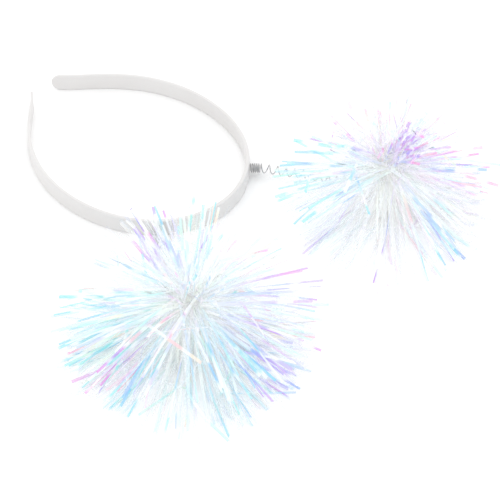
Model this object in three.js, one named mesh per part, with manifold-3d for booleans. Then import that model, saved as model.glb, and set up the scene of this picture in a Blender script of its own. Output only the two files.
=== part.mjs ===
// A party headband: a springy plastic band with two coil springs that carry tinsel pom-poms.
// Millimetres, +Z up. The band lies on its long edge. The middle of the crown is at the origin,
// the crown faces -Y and the arms run towards +Y, one on each side of the plane X = 0.

import * as THREE from "three";
import { mergeVertices } from "three/addons/utils/BufferGeometryUtils.js";
import Module from "manifold-3d";

const wasm = await Module();
wasm.setup();

const GAP = 0.3; // clearance between two pieces that touch
const SIDES = { left: -1, right: 1 };

// Band: a strip standing on edge, split at two flex lines on each side of the crown
const BAND_HALF = 180; // along the strip, from the middle of the crown to a tip
const BAND_WIDTH = 10; // height of the strip above the surface it lies on
const CROWN_THICKNESS = 2.2;
const TIP_THICKNESS = 1.4;
const FLEX_LINES = [54, 114]; // along the strip, from the middle of the crown
const CROWN_FACETS = 9; // an odd number, so that the middle of the crown is a flat facet
const SIDE_FACETS = 10;
const END_FACETS = 11;
const TIP_ARC_STEPS = 8;
// Turning angle of the strip in radians, as an odd polynomial of the fraction of BAND_HALF
const TURN = [3.879, -4.461, 7.603, -4.83];

// Pegs moulded on the crown, pushed into the first coils of each spring
const PEG_AT = 36; // along the strip, from the middle of the crown
const PEG_RADIUS = 1.7;
const PEG_LENGTH = 6;
const PEG_ROOT = 0.8; // how deep the peg is let into the strip

// Springs
const WIRE = 0.6; // wire diameter
const COIL_RADIUS = 2.3; // middle of the wire
const TIGHT_PITCH = 0.95;
const WIRE_SIDES = 5;
const STEPS_PER_TURN = 10;
const BASE_TURNS = 5;
const OPEN_TURNS = 4; // in each of the three open stretches
const END_TURNS = 4;
const LEAN = THREE.MathUtils.degToRad(-11.2); // of the open coils, towards the mirror plane
// Where the open stretches meet, along the lean and above the peg's axis
const LOWER_START = new THREE.Vector2(0, 0);
const MIDDLE_START = new THREE.Vector2(20, 0.5);
const UPPER_START = new THREE.Vector2(41, 1.5);
const POMPOM_CENTRE = new THREE.Vector2(68.4, 15.5);

// Tie wire, wound round the neck of the gathered tinsel
const TIE_WIRE = 0.5;
const TIE_TURNS = 3;
const TIE_PITCH = 0.8;
const TIE_AT = 4.7; // from the start of the neck

// Tinsel: a gathered core with a neck, and tufts that spread to a flattened burst
const NECK_RADIUS = 1.7;
const NECK_LENGTH = 14; // to the middle of the core
const CORE_RADIUS = 6.5;
const TUFTS = 46;
const TUFT_REACH = 64;
const TUFT_REACH_BACK = 48; // towards the band
const TUFT_RISE = 42;
const TUFT_DROP = 40; // cut short by the surface that the band lies on
const TUFT_ROOT_RADIUS = 2.4;
const TUFT_TIP_RADIUS = 0.9;
const TUFT_SIDES = 5;
const NECK_CLEAR_ANGLE = THREE.MathUtils.degToRad(38); // no tufts this close to the neck
const GOLDEN_ANGLE = Math.PI * (3 - Math.sqrt(5));

const whitePlastic = new THREE.MeshStandardMaterial({ color: 0xf1f0ee, roughness: 0.38, metalness: 0 });
const springWire = new THREE.MeshStandardMaterial({ color: 0x8b8d92, roughness: 0.35, metalness: 1 });
const tieWire = new THREE.MeshStandardMaterial({ color: 0xc4c7cc, roughness: 0.3, metalness: 1 });
const tinselFilm = new THREE.MeshStandardMaterial({ color: 0xdcebfb, roughness: 0.15, metalness: 0.2 });

// A closed geometry as a manifold solid, and back

function toSolid(geometry) {
  const plain = geometry.clone();
  plain.deleteAttribute("normal");
  plain.deleteAttribute("uv");
  const merged = mergeVertices(plain, 1e-4);
  const vertProperties = new Float32Array(merged.attributes.position.array);
  const triVerts = new Uint32Array(merged.index.array);
  return new wasm.Manifold(new wasm.Mesh({ numProp: 3, vertProperties, triVerts }));
}

function toGeometry(solid) {
  const { numProp, vertProperties, triVerts } = solid.getMesh();
  const positions = new Float32Array((vertProperties.length / numProp) * 3);
  for (let i = 0; i < positions.length; i++) {
    positions[i] = vertProperties[Math.floor(i / 3) * numProp + (i % 3)];
  }
  const geometry = new THREE.BufferGeometry();
  geometry.setAttribute("position", new THREE.BufferAttribute(positions, 3));
  geometry.setIndex(new THREE.BufferAttribute(new Uint32Array(triVerts), 1));
  geometry.computeVertexNormals();
  return geometry;
}

function namedMesh(name, geometry, material) {
  const mesh = new THREE.Mesh(geometry, material);
  mesh.name = name;
  return mesh;
}

// Band

function turnAt(fraction) {
  return TURN.reduce((sum, factor, i) => sum + factor * fraction ** (2 * i + 1), 0);
}

// The point of the strip's middle line at a distance along it, with its outward normal
function bandPoint(arc) {
  const steps = 120;
  const step = arc / steps;
  const point = new THREE.Vector2();
  for (let i = 0; i < steps; i++) {
    const turn = turnAt(((i + 0.5) * step) / BAND_HALF);
    point.add(new THREE.Vector2(Math.cos(turn), Math.sin(turn)).multiplyScalar(step));
  }
  const turn = turnAt(arc / BAND_HALF);
  return { point, turn, outward: new THREE.Vector2(Math.sin(turn), -Math.cos(turn)) };
}

function halfThickness(arc) {
  return THREE.MathUtils.lerp(CROWN_THICKNESS, TIP_THICKNESS, Math.abs(arc) / BAND_HALF) / 2;
}

function bandFace(arc, outwards) {
  const { point, outward } = bandPoint(arc);
  return point.addScaledVector(outward, outwards * halfThickness(arc));
}

function bandStrip(start, end, facets) {
  const arcs = Array.from({ length: facets + 1 }, (_, i) => THREE.MathUtils.lerp(start, end, i / facets));
  const outer = arcs.map((arc) => bandFace(arc, 1));
  const inner = arcs.map((arc) => bandFace(arc, -1));
  const outline = new THREE.Shape([...outer, ...inner.reverse()]);
  return new THREE.ExtrudeGeometry(outline, { depth: BAND_WIDTH, bevelEnabled: false });
}

// What is cut away at a tip to leave a round end, standing in the XZ plane with the tip at X = 0
function tipCutter() {
  const radius = BAND_WIDTH / 2;
  const spare = 1;
  const shape = new THREE.Shape();
  shape.moveTo(-radius, -spare);
  shape.lineTo(spare, -spare);
  shape.lineTo(spare, BAND_WIDTH + spare);
  shape.lineTo(-radius, BAND_WIDTH + spare);
  shape.lineTo(-radius, BAND_WIDTH);
  shape.absarc(-radius, radius, radius, Math.PI / 2, -Math.PI / 2, true);
  const depth = 4 * CROWN_THICKNESS;
  const cutter = new THREE.ExtrudeGeometry(shape, { depth, bevelEnabled: false, curveSegments: TIP_ARC_STEPS });
  cutter.translate(0, 0, -depth / 2);
  cutter.rotateX(Math.PI / 2);
  return cutter;
}

function bandSide(side) {
  const [start, end] = FLEX_LINES;
  return bandStrip(side * (start + GAP / 2), side * (end - GAP / 2), SIDE_FACETS);
}

function bandEnd(side) {
  const strip = bandStrip(side * (FLEX_LINES[1] + GAP / 2), side * BAND_HALF, END_FACETS);
  const { point, turn } = bandPoint(side * BAND_HALF);
  const cutter = tipCutter();
  cutter.rotateZ(side > 0 ? turn : turn + Math.PI);
  cutter.translate(point.x, point.y, 0);
  return toGeometry(toSolid(strip).subtract(toSolid(cutter)));
}

function crown() {
  const reach = FLEX_LINES[0] - GAP / 2;
  let solid = toSolid(bandStrip(-reach, reach, CROWN_FACETS));
  for (const side of Object.values(SIDES)) {
    const { outward } = bandPoint(side * PEG_AT);
    const face = bandFace(side * PEG_AT, 1);
    const peg = new THREE.CylinderGeometry(PEG_RADIUS, PEG_RADIUS, PEG_LENGTH + PEG_ROOT, 12);
    peg.translate(0, (PEG_LENGTH - PEG_ROOT) / 2, 0);
    peg.rotateZ(outward.angle() - Math.PI / 2);
    peg.translate(face.x, face.y, BAND_WIDTH / 2);
    solid = solid.add(toSolid(peg));
  }
  return toGeometry(solid);
}

// Springs and ties

class Helix extends THREE.Curve {
  constructor(radius, pitch, turns) {
    super();
    Object.assign(this, { radius, pitch, turns });
  }

  getPoint(t, target = new THREE.Vector3()) {
    const angle = 2 * Math.PI * this.turns * t;
    return target.set(this.pitch * this.turns * t, this.radius * Math.cos(angle), this.radius * Math.sin(angle));
  }
}

// A wire coil round +X that starts at X = 0
function coil(wire, radius, pitch, turns) {
  const corners = Array.from({ length: WIRE_SIDES }, (_, i) => {
    const angle = (2 * Math.PI * i) / WIRE_SIDES;
    return new THREE.Vector2(Math.cos(angle), Math.sin(angle)).multiplyScalar(wire / 2);
  });
  const extrudePath = new Helix(radius, pitch, turns);
  const steps = turns * STEPS_PER_TURN;
  const geometry = new THREE.ExtrudeGeometry(new THREE.Shape(corners), { steps, extrudePath, bevelEnabled: false });
  geometry.translate(wire / 2 + GAP / 2, 0, 0);
  return geometry;
}

function openCoil(length) {
  return coil(WIRE, COIL_RADIUS, (length - WIRE - GAP) / OPEN_TURNS, OPEN_TURNS);
}

// A group at a point of the spring's route, with its +X axis along the route's slope
function routeGroup(start, slope) {
  const group = new THREE.Group();
  group.position.set(start.x, 0, start.y);
  group.rotation.y = -slope;
  return group;
}

// Tinsel

function tuftTip(direction) {
  const back = Math.max(0, -direction.x);
  const reach = THREE.MathUtils.lerp(TUFT_REACH, TUFT_REACH_BACK, back);
  const floor = TUFT_TIP_RADIUS - POMPOM_CENTRE.y - BAND_WIDTH / 2;
  const z = direction.z * (direction.z > 0 ? TUFT_RISE : TUFT_DROP);
  return new THREE.Vector3(direction.x * reach, direction.y * reach, Math.max(z, floor));
}

function tuft(tip) {
  const length = tip.length();
  const geometry = new THREE.CylinderGeometry(TUFT_TIP_RADIUS, TUFT_ROOT_RADIUS, length, TUFT_SIDES);
  geometry.translate(0, length / 2, 0);
  const turn = new THREE.Quaternion().setFromUnitVectors(new THREE.Vector3(0, 1, 0), tip.clone().normalize());
  geometry.applyQuaternion(turn);
  return geometry;
}

function neckDirection(slope) {
  return new THREE.Vector3(-Math.cos(slope), 0, -Math.sin(slope));
}

function tinsel(side, slope) {
  const towardsBand = neckDirection(slope);
  let solid = toSolid(new THREE.IcosahedronGeometry(CORE_RADIUS, 1));
  const neck = new THREE.CylinderGeometry(NECK_RADIUS, NECK_RADIUS, NECK_LENGTH, 10);
  neck.translate(0, NECK_LENGTH / 2, 0);
  neck.applyQuaternion(new THREE.Quaternion().setFromUnitVectors(new THREE.Vector3(0, 1, 0), towardsBand));
  solid = solid.add(toSolid(neck));
  for (let i = 0; i < TUFTS; i++) {
    const z = 1 - (2 * (i + 0.5)) / TUFTS;
    const across = Math.sqrt(1 - z * z);
    const angle = i * GOLDEN_ANGLE;
    const direction = new THREE.Vector3(across * Math.cos(angle), side * across * Math.sin(angle), z);
    const tip = tuftTip(direction);
    if (tip.angleTo(towardsBand) > NECK_CLEAR_ANGLE) solid = solid.add(toSolid(tuft(tip)));
  }
  return toGeometry(solid);
}

// One spring with its pom-pom, standing on the outer face of the crown

function springAndPompom(name, side) {
  const mount = new THREE.Group();
  const face = bandFace(side * PEG_AT, 1);
  mount.position.set(face.x, face.y, BAND_WIDTH / 2);
  mount.rotation.z = bandPoint(side * PEG_AT).outward.angle();
  mount.add(namedMesh(`spring_base_coils_${name}`, coil(WIRE, COIL_RADIUS, TIGHT_PITCH, BASE_TURNS), springWire));

  const route = new THREE.Group();
  route.position.x = PEG_LENGTH;
  route.rotation.z = side * LEAN;
  mount.add(route);

  const slope = POMPOM_CENTRE.clone().sub(UPPER_START).angle();
  const neckStart = new THREE.Vector2(-NECK_LENGTH, 0).rotateAround(new THREE.Vector2(), slope).add(POMPOM_CENTRE);
  const stretches = [
    ["lower", LOWER_START, MIDDLE_START],
    ["middle", MIDDLE_START, UPPER_START],
    ["upper", UPPER_START, neckStart],
  ];
  for (const [stretch, start, end] of stretches) {
    const along = end.clone().sub(start);
    const group = routeGroup(start, along.angle());
    group.add(namedMesh(`spring_${stretch}_coils_${name}`, openCoil(along.length()), springWire));
    route.add(group);
  }

  const neck = routeGroup(neckStart, slope);
  neck.add(namedMesh(`spring_end_coils_${name}`, coil(WIRE, COIL_RADIUS, TIGHT_PITCH, END_TURNS), springWire));
  const tie = coil(TIE_WIRE, NECK_RADIUS + GAP + TIE_WIRE / 2, TIE_PITCH, TIE_TURNS);
  tie.translate(TIE_AT, 0, 0);
  neck.add(namedMesh(`tinsel_tie_${name}`, tie, tieWire));
  route.add(neck);

  const pompom = namedMesh(`tinsel_pompom_${name}`, tinsel(side, slope), tinselFilm);
  pompom.position.set(POMPOM_CENTRE.x, 0, POMPOM_CENTRE.y);
  route.add(pompom);
  return mount;
}

const headband = new THREE.Group();
headband.add(namedMesh("headband_crown", crown(), whitePlastic));
for (const [name, side] of Object.entries(SIDES)) {
  headband.add(namedMesh(`headband_side_${name}`, bandSide(side), whitePlastic));
  headband.add(namedMesh(`headband_end_${name}`, bandEnd(side), whitePlastic));
  headband.add(springAndPompom(name, side));
}

export default headband;
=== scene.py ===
"""Looks of a party headband: a white plastic band with two coil springs and two tinsel pom-poms.

Everything is in metres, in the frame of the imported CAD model: the band lies on its edge on Z = 0,
the middle of the crown is at the origin, and the arms run towards +Y.
"""

import math
import random

import bpy
import numpy as np
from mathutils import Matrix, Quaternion, Vector


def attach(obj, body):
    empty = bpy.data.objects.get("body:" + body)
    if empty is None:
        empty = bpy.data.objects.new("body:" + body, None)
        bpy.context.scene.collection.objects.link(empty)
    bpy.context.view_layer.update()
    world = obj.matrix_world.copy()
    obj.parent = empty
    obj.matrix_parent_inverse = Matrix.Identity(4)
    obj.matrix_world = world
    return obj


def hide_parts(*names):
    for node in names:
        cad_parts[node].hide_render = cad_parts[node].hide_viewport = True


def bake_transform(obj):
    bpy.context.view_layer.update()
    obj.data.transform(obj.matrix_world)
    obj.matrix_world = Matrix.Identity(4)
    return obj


MM = 0.001
UP = Vector((0, 0, 1))
SIDES = {"left": -1, "right": 1}

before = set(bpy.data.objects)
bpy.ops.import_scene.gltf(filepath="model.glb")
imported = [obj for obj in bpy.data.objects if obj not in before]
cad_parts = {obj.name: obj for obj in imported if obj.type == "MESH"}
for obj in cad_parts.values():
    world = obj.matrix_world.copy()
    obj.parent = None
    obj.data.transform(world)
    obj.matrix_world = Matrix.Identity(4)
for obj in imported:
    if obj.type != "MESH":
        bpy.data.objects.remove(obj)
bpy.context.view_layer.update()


# Camera

CAMERA_AZIMUTH = math.radians(-45.11)
CAMERA_ELEVATION = math.radians(42.73)
CAMERA_DISTANCE = 3.0
CAMERA_LENS = 415.2
CAMERA_TARGET = Vector((-7.85, -29.13, 0)) * MM


def make_camera():
    camera = bpy.data.objects.new("camera", bpy.data.cameras.new("camera"))
    bpy.context.scene.collection.objects.link(camera)
    level = math.cos(CAMERA_ELEVATION)
    back = Vector((
        math.sin(CAMERA_AZIMUTH) * level,
        -math.cos(CAMERA_AZIMUTH) * level,
        math.sin(CAMERA_ELEVATION),
    ))
    camera.location = CAMERA_TARGET + CAMERA_DISTANCE * back
    camera.rotation_euler = back.to_track_quat("Z", "Y").to_euler()
    camera.data.lens = CAMERA_LENS
    camera.data.clip_end = 20
    bpy.context.scene.camera = camera


# Materials


def principled(name, **values):
    """A material with one Principled shader, and that shader's node."""
    material = bpy.data.materials.new(name)
    material.use_nodes = True
    shader = material.node_tree.nodes["Principled BSDF"]
    for socket, value in values.items():
        shader.inputs[socket.replace("_", " ")].default_value = value
    return material, shader


def add_node(material, kind, inputs=(), **settings):
    """A new node. inputs maps its sockets to values or to other nodes' outputs."""
    node = material.node_tree.nodes.new(kind)
    for name, value in settings.items():
        setattr(node, name, value)
    for socket, value in dict(inputs).items():
        if isinstance(value, bpy.types.NodeSocket):
            material.node_tree.links.new(value, node.inputs[socket])
        else:
            node.inputs[socket].default_value = value
    return node


def colour_ramp(material, factor, stops):
    """The colour output of a ramp with (position, colour) stops, driven by factor."""
    node = add_node(material, "ShaderNodeValToRGB", {"Fac": factor})
    ramp = node.color_ramp
    while len(ramp.elements) < len(stops):
        ramp.elements.new(1)
    for element, (position, colour) in zip(ramp.elements, stops):
        element.position = position
        element.color = (*colour, 1)
    return node.outputs["Color"]


def mixed(material, share, first, second):
    """The colour output of a mix of two colours, with the given share of the second."""
    node = add_node(material, "ShaderNodeMix", {"Factor": share}, data_type="RGBA")
    sockets = {socket.identifier: socket for socket in (*node.inputs, *node.outputs)}
    material.node_tree.links.new(first, sockets["A_Color"])
    material.node_tree.links.new(second, sockets["B_Color"])
    return sockets["Result_Color"]


def noise(material, scale, detail, roughness=0.5, stretch=None):
    """The factor output of a noise in the object's own space, stretched along its axes."""
    place = add_node(material, "ShaderNodeTexCoord").outputs["Object"]
    if stretch:
        mapping = add_node(material, "ShaderNodeMapping", {"Vector": place, "Scale": stretch})
        place = mapping.outputs["Vector"]
    inputs = {"Vector": place, "Scale": scale, "Detail": detail, "Roughness": roughness}
    return add_node(material, "ShaderNodeTexNoise", inputs).outputs["Fac"]


def compute(material, operation, *values):
    """The result of a sum or another operation on one or two values."""
    node = add_node(material, "ShaderNodeMath", dict(enumerate(values)), operation=operation)
    return node.outputs["Value"]


def scaled(material, value, low, high):
    """A value between 0 and 1, brought between low and high."""
    inputs = {"Value": value, "To Min": low, "To Max": high}
    return add_node(material, "ShaderNodeMapRange", inputs).outputs["Result"]


def link(material, output, shader, socket):
    material.node_tree.links.new(output, shader.inputs[socket])


def bump(material, shader, height, distance):
    inputs = {"Height": height, "Distance": distance, "Strength": 1}
    link(material, add_node(material, "ShaderNodeBump", inputs).outputs["Normal"], shader, "Normal")


def moulded_plastic():
    """White polystyrene: cloudy in depth, with a fine satin grain and faint flow marks."""
    material, shader = principled("white_plastic", IOR=1.5, Coat_Weight=0.15, Coat_Roughness=0.25)
    cloud = noise(material, 28, detail=3)
    tones = [(0.3, (0.70, 0.685, 0.675)), (0.7, (0.74, 0.73, 0.725))]
    link(material, colour_ramp(material, cloud, tones), shader, "Base Color")
    grain = noise(material, 900, detail=4, roughness=0.6)
    link(material, scaled(material, grain, 0.32, 0.46), shader, "Roughness")
    flow = noise(material, 160, detail=2, stretch=(1, 1, 6))
    bump(material, shader, compute(material, "ADD", flow, grain), 0.04 * MM)
    return material


def drawn_wire(name, dark, light, roughness):
    """Drawn steel wire: darker and lighter patches, fine scratches and an uneven polish."""
    material, shader = principled(name, Metallic=1.0)
    patches = noise(material, 260, detail=3, roughness=0.7)
    tones = [(0.35, dark), (0.7, light)]
    link(material, colour_ramp(material, patches, tones), shader, "Base Color")
    scratches = noise(material, 2600, detail=3, roughness=0.7)
    link(material, scaled(material, scratches, *roughness), shader, "Roughness")
    bump(material, shader, scratches, 0.01 * MM)
    return material


# The hues that the film runs through as its tint goes from 0 to 1
FILM_COLOURS = (
    (0.00, (0.76, 0.16, 0.68)),
    (0.14, (0.46, 0.20, 0.80)),
    (0.28, (0.28, 0.34, 0.86)),
    (0.42, (0.18, 0.55, 0.83)),
    (0.56, (0.20, 0.70, 0.75)),
    (0.68, (0.42, 0.88, 0.78)),
    (0.78, (0.98, 0.94, 0.66)),
    (0.88, (0.94, 0.48, 0.50)),
    (1.00, (0.80, 0.16, 0.58)),
)
# The colour of nearly clear film, near the core and farther out. It is whiter near the core, partly
# for the film's own cream tint there and partly as painted light that offsets the shade deep in the
# pom-pom
FILM_ROOT = (1.0, 1.0, 0.97)
FILM_CLEAR = (0.92, 0.93, 0.945)
# Painted glow: faint white light that the film gives off, standing in for the light that many layers
# of film pass on between them beyond the bounces that are rendered
FILM_PAINTED_GLOW = 0.13
TINT_DRIFT = 0.12


def tinsel_film(name, opacity):
    """See-through iridescent film, which changes between nearly clear and a hue along each strip."""
    material, shader = principled(
        name,
        Alpha=opacity,
        Roughness=0.25,
        IOR=1.6,
        Thin_Film_Thickness=420.0,
        Thin_Film_IOR=1.35,
        # Painted glow: the film gives off faint white light of its own
        Emission_Color=(1, 1, 1, 1),
        Emission_Strength=FILM_PAINTED_GLOW,
    )
    along, tint, depth, seed = (
        add_node(material, "ShaderNodeAttribute", attribute_name=f"film_{label}").outputs["Fac"]
        for label in ("along", "tint", "depth", "seed")
    )

    def drift(rate, start):
        """A noise that changes slowly along a strip and is different on each strip."""
        coordinates = {
            "X": compute(material, "MULTIPLY", along, rate),
            "Y": compute(material, "ADD", seed, start),
        }
        place = add_node(material, "ShaderNodeCombineXYZ", coordinates).outputs["Vector"]
        inputs = {"Vector": place, "Scale": 1.0, "Detail": 0.0}
        return add_node(material, "ShaderNodeTexNoise", inputs).outputs["Fac"]

    swing = {
        "Value": drift(3, 0),
        "From Min": 0.3,
        "From Max": 0.7,
        "To Min": -TINT_DRIFT,
        "To Max": TINT_DRIFT,
    }
    offset = add_node(material, "ShaderNodeMapRange", swing, clamp=False).outputs["Result"]
    hue = compute(material, "FRACT", compute(material, "ADD", tint, offset))
    tinted = colour_ramp(material, hue, FILM_COLOURS)
    patch = {"Value": drift(4.5, 500), "From Min": 0.40, "From Max": 0.52}
    patch = add_node(material, "ShaderNodeMapRange", patch, interpolation_type="SMOOTHSTEP")
    share = compute(material, "MULTIPLY", patch.outputs["Result"], depth)
    # Painted light: the clear film is whiter near the core, to offset the shade deep in the pom-pom
    clear = colour_ramp(material, along, [(0.1, FILM_ROOT), (0.5, FILM_CLEAR)])
    link(material, mixed(material, share, clear, tinted), shader, "Base Color")
    return material


# Mesh helpers


def make_object(name, points, faces, material, sharp_edges=()):
    """A smooth-shaded mesh object."""
    mesh = bpy.data.meshes.new(name)
    mesh.from_pydata([tuple(p) for p in points], [], faces)
    mesh.polygons.foreach_set("use_smooth", [True] * len(mesh.polygons))
    sharp = {frozenset(pair) for pair in sharp_edges}
    for edge in mesh.edges:
        if frozenset(edge.vertices) in sharp:
            edge.use_edge_sharp = True
    mesh.materials.append(material)
    thing = bpy.data.objects.new(name, mesh)
    bpy.context.scene.collection.objects.link(thing)
    return thing


def skin(rings):
    """Faces that join rings of equally many points, numbered ring after ring."""
    count = len(rings[0])
    faces = []
    for i in range(len(rings) - 1):
        for j in range(count):
            a, b = i * count + j, i * count + (j + 1) % count
            faces.append((a, b, b + count, a + count))
    return faces


def capped_tube(name, rings, material):
    """A closed tube through rings, with flat ends."""
    points = [p for ring in rings for p in ring]
    count, last = len(rings[0]), (len(rings) - 1) * len(rings[0])
    faces = skin(rings)
    faces.append(tuple(reversed(range(count))))
    faces.append(tuple(range(last, last + count)))
    sharp = [(k, (k + 1) % count) for k in range(count)]
    sharp += [(last + k, last + (k + 1) % count) for k in range(count)]
    return make_object(name, points, faces, material, sharp)


# Band

BAND_HALF = 180 * MM
BAND_WIDTH = 10 * MM
CROWN_THICKNESS = 2.2 * MM
TIP_THICKNESS = 1.4 * MM
EDGE_RADIUS = 0.6 * MM
MOST_ROUNDED = 0.98  # the share of a small section's half size that its corners may take up
CORNER_SUPPORT = 0.5 * MM
# Turning angle of the strip in radians, as an odd polynomial of the fraction of BAND_HALF
TURN = (3.879, -4.461, 7.603, -4.83)
PEG_AT = 36 * MM
PEG_RADIUS = 1.7 * MM
PEG_LENGTH = 6 * MM
PEG_ROOT = 0.6 * MM
PEG_FILLET = (0.25 * MM, 0.2 * MM)  # along the peg and out from it
PEG_NOSE = 0.7 * MM
PEG_SIDES = 24
RING_STEP = 1.5 * MM
TIP_RINGS = 10
# Near its tip the strip keeps at least this share of its height, and thins out later
TIP_LEAST_SHARE = 0.06
TIP_THINNING = 1.6
# Where each stretch of band ends, along the strip from the middle of the crown
CROWN_END = 39 * MM
SIDE_END = 84 * MM


def band_turn(arc):
    """The strip's turning angle at a distance along it from the middle of the crown."""
    fraction = arc / BAND_HALF
    return sum(factor * fraction ** (2 * i + 1) for i, factor in enumerate(TURN))


def band_point(arc):
    """The point at a distance along the strip's middle line, and the outward normal there."""
    steps = 120
    step = arc / steps
    x = sum(math.cos(band_turn((i + 0.5) * step)) * step for i in range(steps))
    y = sum(math.sin(band_turn((i + 0.5) * step)) * step for i in range(steps))
    turn = band_turn(arc)
    return Vector((x, y, BAND_WIDTH / 2)), Vector((math.sin(turn), -math.cos(turn), 0))


def band_thickness(arc):
    return CROWN_THICKNESS + (TIP_THICKNESS - CROWN_THICKNESS) * abs(arc) / BAND_HALF


def outer_face(arc):
    """The point on the strip's outer face at a distance along it, and the outward normal there."""
    point, outward = band_point(arc)
    return point + outward * band_thickness(arc) / 2, outward


def band_section(half_height, half_thick):
    """A flat oblong with round corners, as (outward, up) points, with one more beside each corner."""
    radius = min(EDGE_RADIUS, half_height * MOST_ROUNDED, half_thick * MOST_ROUNDED)
    section = []
    for quarter in range(4):
        sign_out = (1, -1, -1, 1)[quarter]
        sign_up = (1, 1, -1, -1)[quarter]
        corner = [
            (
                sign_out * (half_thick - radius) + radius * math.cos(angle),
                sign_up * (half_height - radius) + radius * math.sin(angle),
            )
            for angle in ((quarter + step / 4) * math.pi / 2 for step in range(5))
        ]
        support = min(CORNER_SUPPORT, (half_height - radius) * 0.3)
        before, after = corner[0], corner[-1]
        if quarter % 2 == 0:
            corner.insert(0, (before[0], before[1] - sign_up * support))
        else:
            corner.append((after[0], after[1] - sign_up * support))
        section += corner
    return section


def tip_share(arc):
    """How much of the strip's height is left near a rounded tip."""
    radius = BAND_WIDTH / 2
    past = max(0.0, abs(arc) - (BAND_HALF - radius)) / radius
    return math.sqrt(max(0.0, 1 - past * past))


def band_stretch(name, start, end, material):
    """A stretch of the strip between two distances along it."""
    steps = max(2, round(abs(end - start) / RING_STEP))
    arcs = [start + (end - start) * i / steps for i in range(steps + 1)]
    if abs(end) > BAND_HALF - MM:
        rounding = BAND_WIDTH / 2
        arcs = [a for a in arcs if abs(a) < BAND_HALF - rounding]
        side = math.copysign(1, end)
        angles = [k / TIP_RINGS * math.pi / 2 for k in range(TIP_RINGS + 1)]
        arcs += [side * (BAND_HALF - rounding * (1 - math.sin(angle))) for angle in angles]
    rings = []
    for arc in arcs:
        point, outward = band_point(arc)
        share = max(tip_share(arc), TIP_LEAST_SHARE)
        half_thick = band_thickness(arc) / 2 * min(1, share * TIP_THINNING)
        section = band_section(BAND_WIDTH / 2 * share, half_thick)
        if end < start:
            section = section[::-1]
        rings.append([point + outward * out + UP * up for out, up in section])
    return capped_tube(name, rings, material)


def peg(name, side, material):
    """The stud that a spring is pushed on: a rod with a fillet at its root and a round nose."""
    face, outward = outer_face(side * PEG_AT)
    fillet_length, fillet_height = PEG_FILLET
    foot = PEG_RADIUS + fillet_height
    profile = [
        (-PEG_ROOT, foot),
        (0, foot),
        (fillet_length, PEG_RADIUS),
        (PEG_LENGTH - PEG_NOSE, PEG_RADIUS),
    ]
    for k in range(1, 5):
        angle = k * math.pi / 10
        along = PEG_LENGTH - PEG_NOSE * (1 - math.sin(angle))
        profile.append((along, PEG_RADIUS - PEG_NOSE * (1 - math.cos(angle))))
    sideways = outward.cross(UP)
    rings = []
    for along, radius in profile:
        angles = [2 * math.pi * k / PEG_SIDES for k in range(PEG_SIDES)]
        ring = [
            face + outward * along + (sideways * math.cos(a) + UP * math.sin(a)) * radius
            for a in reversed(angles)
        ]
        rings.append(ring)
    return capped_tube(name, rings, material)


def make_band(material):
    crown = band_stretch("band_crown", -CROWN_END, CROWN_END, material)
    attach(crown, "crown")
    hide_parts("headband_crown")
    for name, side in SIDES.items():
        stud = peg(f"band_peg_{name}", side, material)
        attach(stud, "crown")
        sides = band_stretch(f"band_side_{name}", side * CROWN_END, side * SIDE_END, material)
        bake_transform(sides)
        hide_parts(f"headband_side_{name}")
        ends = band_stretch(f"band_end_{name}", side * SIDE_END, side * BAND_HALF, material)
        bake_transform(ends)
        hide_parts(f"headband_end_{name}")


# Springs

WIRE_RADIUS = 0.28 * MM
COIL_RADIUS = 2.3 * MM
TIGHT_PITCH = 1.05 * MM
OPEN_PITCH = 4.6 * MM
STEPS_PER_TURN = 24
WIRE_SIDES = 8
TIGHT_BASE = 5.0 * MM
TIGHT_END = 4.4 * MM
WIRE_START = 0.5 * MM
PITCH_EASE = 1.5 * MM  # over which the coils open
LEAN = math.radians(-11.2)
# The spring's route: distances along the lean from the peg's end, and heights above the peg's axis
MIDDLE_START = (20 * MM, 0.5 * MM)
UPPER_START = (41 * MM, 1.5 * MM)
POMPOM_CENTRE = (68.4 * MM, 15.5 * MM)
NECK_LENGTH = 14 * MM
LINE_STEPS = 16


class Route:
    """The middle line of one spring, from the band's face to the gathered tinsel."""

    def __init__(self, side):
        face, outward = outer_face(side * PEG_AT)
        self.along = Quaternion(UP, side * LEAN) @ outward
        self.peg_end = face + outward * PEG_LENGTH
        middle, upper = self.at(MIDDLE_START), self.at(UPPER_START)
        self.core = self.at(POMPOM_CENTRE)
        self.neck_axis = (self.core - upper).normalized()
        self.neck = self.core - self.neck_axis * NECK_LENGTH
        stops = [
            face,
            self.peg_end,
            middle,
            upper,
            self.neck,
            self.neck + self.neck_axis * TIGHT_END,
        ]
        self.points, self.lengths = smooth_line(stops)
        self.marks = [self.lengths[i * LINE_STEPS] for i in range(len(stops))]

    def at(self, stop):
        """The point at a distance along the lean and a height."""
        return self.peg_end + self.along * stop[0] + UP * stop[1]

    def point(self, length):
        """The point, and the direction, at a length along the line."""
        i = int(np.clip(np.searchsorted(self.lengths, length) - 1, 0, len(self.points) - 2))
        a, b = self.points[i], self.points[i + 1]
        share = (length - self.lengths[i]) / (self.lengths[i + 1] - self.lengths[i])
        return a.lerp(b, share), (b - a).normalized()


def smooth_line(stops):
    """A smooth line through the stops, as close points, and the length at each."""
    ends = [2 * stops[0] - stops[1], *stops, 2 * stops[-1] - stops[-2]]
    points = []
    for i in range(len(stops) - 1):
        before, start, end, after = ends[i : i + 4]
        reach = (end - start).length
        leave = (end - before).normalized() * reach
        arrive = (after - start).normalized() * reach
        for k in range(LINE_STEPS):
            t = k / LINE_STEPS
            points.append(
                start * (2 * t**3 - 3 * t**2 + 1)
                + leave * (t**3 - 2 * t**2 + t)
                + end * (3 * t**2 - 2 * t**3)
                + arrive * (t**3 - t**2)
            )
    points.append(stops[-1].copy())
    lengths = [0.0]
    for a, b in zip(points, points[1:]):
        lengths.append(lengths[-1] + (b - a).length)
    return points, lengths


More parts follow.
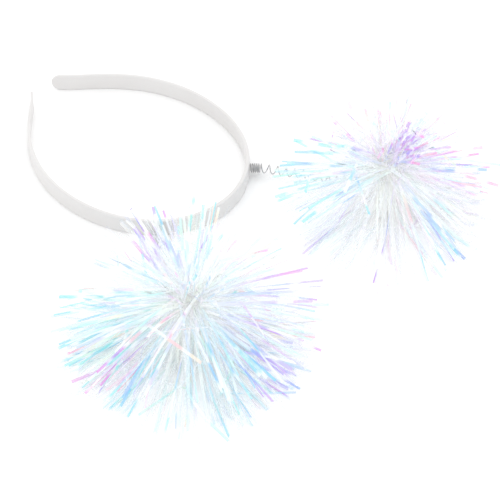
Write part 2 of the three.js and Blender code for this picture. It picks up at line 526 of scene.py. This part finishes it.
def coil_samples(route):
    """(length along the route, turn angle) of close points along the whole wire."""
    total = route.lengths[-1]
    tight_until = WIRE_START + TIGHT_BASE
    tight_again = total - TIGHT_END
    length, angle, samples = WIRE_START, 0.0, []
    while length < total:
        samples.append((length, angle))
        past_base = np.clip((length - tight_until) / PITCH_EASE, 0, 1)
        before_end = np.clip((tight_again - length) / PITCH_EASE, 0, 1)
        openness = min(past_base, before_end)
        pitch = TIGHT_PITCH + (OPEN_PITCH - TIGHT_PITCH) * openness
        angle += 2 * math.pi / STEPS_PER_TURN
        length += pitch / STEPS_PER_TURN
    return samples


def wire_tube(name, centres, outs, radius, material):
    """A round wire through centres. outs are directions across the wire, one at each centre."""
    rings = []
    for i, centre in enumerate(centres):
        ahead = centres[min(i + 1, len(centres) - 1)] - centres[max(i - 1, 0)]
        across = (outs[i] - ahead * (outs[i].dot(ahead) / ahead.length_squared)).normalized()
        other = ahead.normalized().cross(across)
        angles = [2 * math.pi * k / WIRE_SIDES for k in range(WIRE_SIDES)]
        rings.append([
            centre + (across * math.cos(a) + other * math.sin(a)) * radius for a in angles
        ])
    return capped_tube(name, rings, material)


def coil_piece(name, route, samples, material):
    centres, outs = [], []
    for length, angle in samples:
        point, direction = route.point(length)
        level = UP.cross(direction).normalized()
        upright = direction.cross(level)
        out = level * math.cos(angle) + upright * math.sin(angle)
        centres.append(point + out * COIL_RADIUS)
        outs.append(out)
    return wire_tube(name, centres, outs, WIRE_RADIUS, material)


def make_spring(name, route, material):
    """One wire in pieces: tight coils on the peg, three stretches between them, and tight end coils.
    """
    samples = coil_samples(route)
    _, peg_end, middle, upper, neck, _ = route.marks
    base_end = peg_end + 0.3 * MM
    lower_end = middle - 5 * MM
    middle_end = upper - MM
    cuts = [0, base_end, lower_end, middle_end, neck, samples[-1][0] + MM]
    labels = ("base", "lower", "middle", "upper", "end")
    bends = {
        "lower": ("crown", f"spring_lower_{name}", base_end, lower_end - MM),
        "middle": (f"spring_lower_{name}", f"spring_middle_{name}", lower_end, middle_end - 5 * MM),
        "upper": (f"spring_middle_{name}", f"pompom_{name}", middle_end, neck),
    }
    rides = {"base": "crown", "end": f"pompom_{name}"}
    for label, low, high in zip(labels, cuts, cuts[1:]):
        part = [s for s in samples if low <= s[0] <= high]
        first_after = next((s for s in samples if s[0] > high), None)
        if first_after:
            part.append(first_after)
        piece = coil_piece(f"spring_wire_{label}_{name}", route, part, material)
        if label in rides:
            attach(piece, rides[label])
        else:
            body, next_body, start, end = bends[label]
            route.point(start)[0]
            route.point(end)[0]
            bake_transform(piece)
        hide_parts(f"spring_{label}_coils_{name}")


# Tinsel

STRIP_STEPS = 9
STRIP_LIFT = 0.5 * MM  # how far above the table the lowest strips lie
STEEPEST_DROP = 0.95  # of a step that ends on the table
SHORTEST_SHARE = 0.86  # of the length that a strip may have
KINK = 0.8  # how sharply a kinked strip turns
TWIST = 0.9  # radians along a strip
DROOP = (0.5, 6)  # how fast strips bend down, per metre
COLOUR_AT_CORE = 0.05
COLOUR_GAIN = 1.5  # along a strip, until the colour is full
CORE_SPREAD = 3 * MM
CORE_RADIUS = 3.5 * MM
SPRING_CLEAR_ANGLE = math.radians(38)  # no strips this close to the spring
# The strips are combed towards the front and the table, so they are longest there
COMBED = Vector((-0.75, -0.60, -0.25)).normalized()
# reach: length of the strips at the sides.
# front and back: how much longer or shorter those there are, as a share.
# highest, across and inward: how far strips may go from the core upwards, along X or Y, and towards
# the other pom-pom.
# clear and bright: how many tufts of each film.
POMPOMS = {
    "left": {
        "seed": 11,
        "reach": 71 * MM,
        "front": 0.27,
        "back": 0.30,
        "highest": 46 * MM,
        "across": 78 * MM,
        "inward": 62 * MM,
        "clear": 126,
        "bright": 74,
        "tints": (0.1, 0.2, 0.36, 0.48, 0.54, 0.56, 0.6, 0.68, 0.78, 0.8),
    },
    "right": {
        "seed": 23,
        "reach": 58 * MM,
        "front": 0.52,
        "back": 0.50,
        "highest": 35 * MM,
        "across": 70 * MM,
        "inward": 65 * MM,
        "clear": 120,
        "bright": 56,
        "tints": (0.05, 0.12, 0.2, 0.34, 0.48, 0.56, 0.7, 0.78, 0.82, 0.9),
    },
}
# Hues that stand out on one side: azimuth and elevation in degrees, tint, how far it shifts along
# the strip, and how many tufts
ACCENTS = {
    "left": (
        (150, 0, 0.56, 0.0, 10),
        (75, 30, 0.26, -0.15, 5),
        (-73, 0, 0.42, -0.25, 8),
        (-172, 0, 0.10, -0.10, 4),
        (-110, 5, 0.50, 0.0, 9),
    ),
    "right": (
        (-95, 57, 0.30, -0.30, 16),
        (45, 30, 0.92, 0.0, 3),
        (-50, 5, 0.05, -0.05, 3),
        (110, 25, 0.14, -0.1, 3),
        (158, 3, 0.56, 0.0, 9),
        (-90, 0, 0.36, 0.0, 4),
    ),
}


def burst_direction(azimuth, elevation):
    """The direction at an azimuth from +X towards +Y, and an elevation."""
    return Vector((
        math.cos(azimuth) * math.cos(elevation),
        math.sin(azimuth) * math.cos(elevation),
        math.sin(elevation),
    ))


class Tinsel:
    """Collects strips of one pom-pom, as ribbons with film attributes at each point."""

    def __init__(self, route, facts, draw, widths, kinked):
        self.widths, self.kinked = widths, kinked
        self.centre, self.towards_spring = route.core, -route.neck_axis
        self.facts, self.draw = facts, draw
        self.points, self.faces = [], []
        self.film = {"film_along": [], "film_tint": [], "film_depth": [], "film_seed": []}

    def full_length(self, heading, offset):
        """The length of the longest strip that starts at an offset from the core, in a direction."""
        facts = self.facts
        combed = heading.dot(COMBED)
        change = facts["front"] * combed**2 if combed > 0 else facts["back"] * combed
        length = facts["reach"] * (1 + change)
        length = min(length, facts["highest"] / max(heading.z, 0.01))
        for ahead, start, core in zip(heading.xy, offset.xy, (self.centre.x, 0)):
            limit = facts["inward"] if ahead * core < 0 else facts["across"]
            room = limit - start * math.copysign(1, ahead)
            length = min(length, room / max(abs(ahead), 0.01))
        return length

    def strip(self, azimuth, elevation, roll, tint, shift, depth):
        """One strip, from near the core outwards. It bends down, and lies on the table it meets."""
        draw = self.draw
        heading = burst_direction(azimuth, elevation)
        if heading.angle(self.towards_spring) < SPRING_CLEAR_ANGLE:
            return
        ragged = draw.uniform(SHORTEST_SHARE, 1)
        spread = Vector([draw.gauss(0, CORE_SPREAD) for _ in range(3)])
        offset = heading * CORE_RADIUS + spread
        step = (self.full_length(heading, offset) * ragged - CORE_RADIUS) / STRIP_STEPS
        width = draw.uniform(*self.widths)
        twist = draw.gauss(0, TWIST)
        droop = draw.uniform(*DROOP)
        seed = draw.uniform(0, 400)
        kink_at = draw.randint(3, 7) if draw.random() < self.kinked else None
        point = self.centre + offset
        first = len(self.points)
        for i in range(STRIP_STEPS + 1):
            share = i / STRIP_STEPS
            if i == kink_at:
                kink = Vector((draw.gauss(0, KINK), draw.gauss(0, KINK), -KINK / 4))
                heading = (heading + kink).normalized()
            across = Quaternion(heading, roll + twist * share) @ heading.orthogonal().normalized()
            for side in (-0.5, 0.5):
                corner = point + across * width * side
                corner.z = max(corner.z, STRIP_LIFT / 2)
                self.points.append(corner)
            self.film["film_along"] += [share] * 2
            self.film["film_tint"] += [tint + shift * share] * 2
            self.film["film_seed"] += [seed] * 2
            colour = depth * min(1, COLOUR_AT_CORE + COLOUR_GAIN * share)
            self.film["film_depth"] += [colour] * 2
            heading.z -= droop * step * math.hypot(heading.x, heading.y)
            if point.z > self.centre.z + self.facts["highest"]:
                heading.z = min(heading.z, 0)
            heading.normalize()
            if (point + heading * step).z < STRIP_LIFT:
                flat = Vector((heading.x, heading.y, 0)).normalized()
                drop = max(-STEEPEST_DROP, (STRIP_LIFT - point.z) / step)
                heading = flat * math.sqrt(1 - drop * drop) + UP * drop
            point = point + heading * step
        for a in range(first, first + 2 * STRIP_STEPS, 2):
            self.faces.append((a, a + 1, a + 3, a + 2))

    def tuft(self, azimuth, elevation, strips, spread, tint, shift, depth):
        """Some strips side by side that share a tint, and how far it shifts along them."""
        roll = self.draw.uniform(0, math.pi)
        for _ in range(strips):
            self.strip(
                azimuth + self.draw.gauss(0, spread),
                elevation + self.draw.gauss(0, spread),
                roll + self.draw.gauss(0, 0.5),
                tint + self.draw.gauss(0, 0.03),
                shift,
                min(1, depth * self.draw.uniform(0.5, 1.4)),
            )

    def build(self, name, material, body):
        thing = make_object(name, self.points, self.faces, material)
        for label, values in self.film.items():
            attribute = thing.data.attributes.new(label, "FLOAT", "POINT")
            attribute.data.foreach_set("value", np.array(values, np.float32))
        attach(thing, body)
        return thing


GOLDEN_ANGLE = math.pi * (3 - math.sqrt(5))
EVEN_STEP = 0.7548777  # whose multiples, without their whole part, are spread evenly
LOWEST_TUFT = -42
HIGHEST_TUFT = 70


def spread_out(i, draw):
    """The azimuth and elevation of tuft i, so that the tufts fill every side evenly."""
    azimuth = i * GOLDEN_ANGLE + draw.gauss(0, 0.1)
    height = i * EVEN_STEP % 1
    return azimuth, math.radians(LOWEST_TUFT + (HIGHEST_TUFT - LOWEST_TUFT) * height**1.25)


def make_pompom(name, route, clear_film, bright_film):
    """The strips that are nearly clear, and those with strong colours, which are less see-through."""
    facts = POMPOMS[name]
    tints = facts["tints"]
    draw = random.Random(facts["seed"])
    clear = Tinsel(route, facts, draw, widths=(1.0 * MM, 1.7 * MM), kinked=0.04)
    bright = Tinsel(route, facts, draw, widths=(1.1 * MM, 1.8 * MM), kinked=0.1)

    for i in range(facts["clear"]):
        aim, rise = spread_out(i, draw)
        strips, tint = draw.randint(3, 7), draw.choice(tints)
        clear.tuft(aim, rise, strips, 0.10, tint, 0, draw.uniform(0.05, 0.5))
    for i in range(facts["bright"]):
        aim, rise = spread_out(i, draw)
        shift = draw.uniform(-0.2, 0.2)
        strips, tint = draw.randint(2, 4), draw.choice(tints)
        bright.tuft(aim, rise, strips, 0.08, tint, shift, draw.uniform(0.35, 1))
    for azimuth, elevation, tint, shift, tufts in ACCENTS[name]:
        for _ in range(tufts):
            aim = math.radians(azimuth + draw.gauss(0, 16))
            rise = math.radians(elevation + draw.gauss(0, 9))
            strips = draw.randint(2, 4)
            bright.tuft(aim, rise, strips, 0.05, tint + draw.gauss(0, 0.03), shift, 1)
    clear = clear.build(f"tinsel_clear_{name}", clear_film, f"pompom_{name}")
    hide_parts(f"tinsel_pompom_{name}")
    bright.build(f"tinsel_bright_{name}", bright_film, f"pompom_{name}")


TIE_WIRE_RADIUS = 0.24 * MM
TIE_RADIUS = 2.0 * MM
TIE_TURNS = 4
TIE_AT = 5.2 * MM  # from the start of the neck


def make_tie(name, route, material):
    """Soft wire wound round the neck of the gathered strips."""
    level = UP.cross(route.neck_axis).normalized()
    upright = route.neck_axis.cross(level)
    centres, outs = [], []
    steps = TIE_TURNS * STEPS_PER_TURN
    for i in range(steps + 1):
        angle = 2 * math.pi * i / STEPS_PER_TURN
        out = level * math.cos(angle) + upright * math.sin(angle)
        along = TIE_AT + i / STEPS_PER_TURN * 2.1 * TIE_WIRE_RADIUS
        centres.append(route.neck + route.neck_axis * along + out * TIE_RADIUS)
        outs.append(out)
    piece = wire_tube(f"tie_wire_{name}", centres, outs, TIE_WIRE_RADIUS, material)
    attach(piece, f"pompom_{name}")
    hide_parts(f"tinsel_tie_{name}")


# Studio


def make_floor():
    size = 6
    floor = make_object(
        "floor",
        [(-size, -size, 0), (size, -size, 0), (size, size, 0), (-size, size, 0)],
        [(0, 1, 2, 3)],
        principled("floor", Base_Color=(0.97, 0.97, 0.97, 1), Roughness=0.9)[0],
    )


def make_light(name, place, size, power):
    light = bpy.data.objects.new(name, bpy.data.lights.new(name, "AREA"))
    light.data.shape = "DISK"
    light.data.size = size
    light.data.energy = power
    light.location = place
    light.rotation_euler = Vector(place).to_track_quat("Z", "Y").to_euler()
    bpy.context.scene.collection.objects.link(light)


def make_studio():
    make_floor()
    make_light("key_light", (-0.1, -0.3, 1.6), 1.2, 1.5)
    make_light("fill_light", (0.7, 0.6, 1.4), 1.2, 0.8)
    world = bpy.data.worlds.new("studio")
    world.use_nodes = True
    background = world.node_tree.nodes["Background"]
    background.inputs["Color"].default_value = (1, 1, 1, 1)
    background.inputs["Strength"].default_value = 1.15
    bpy.context.scene.world = world
    bpy.context.scene.view_settings.view_transform = "Standard"


make_camera()
make_studio()
make_band(moulded_plastic())
spring_steel = drawn_wire("spring_steel", (0.42, 0.42, 0.43), (0.70, 0.70, 0.71), (0.25, 0.45))
tie_steel = drawn_wire("tie_steel", (0.5, 0.5, 0.52), (0.8, 0.8, 0.82), (0.2, 0.35))
films = tinsel_film("clear_film", 0.28), tinsel_film("bright_film", 0.66)
for side_name, side_sign in SIDES.items():
    spring_route = Route(side_sign)
    make_spring(side_name, spring_route, spring_steel)
    make_tie(side_name, spring_route, tie_steel)
    make_pompom(side_name, spring_route, *films)
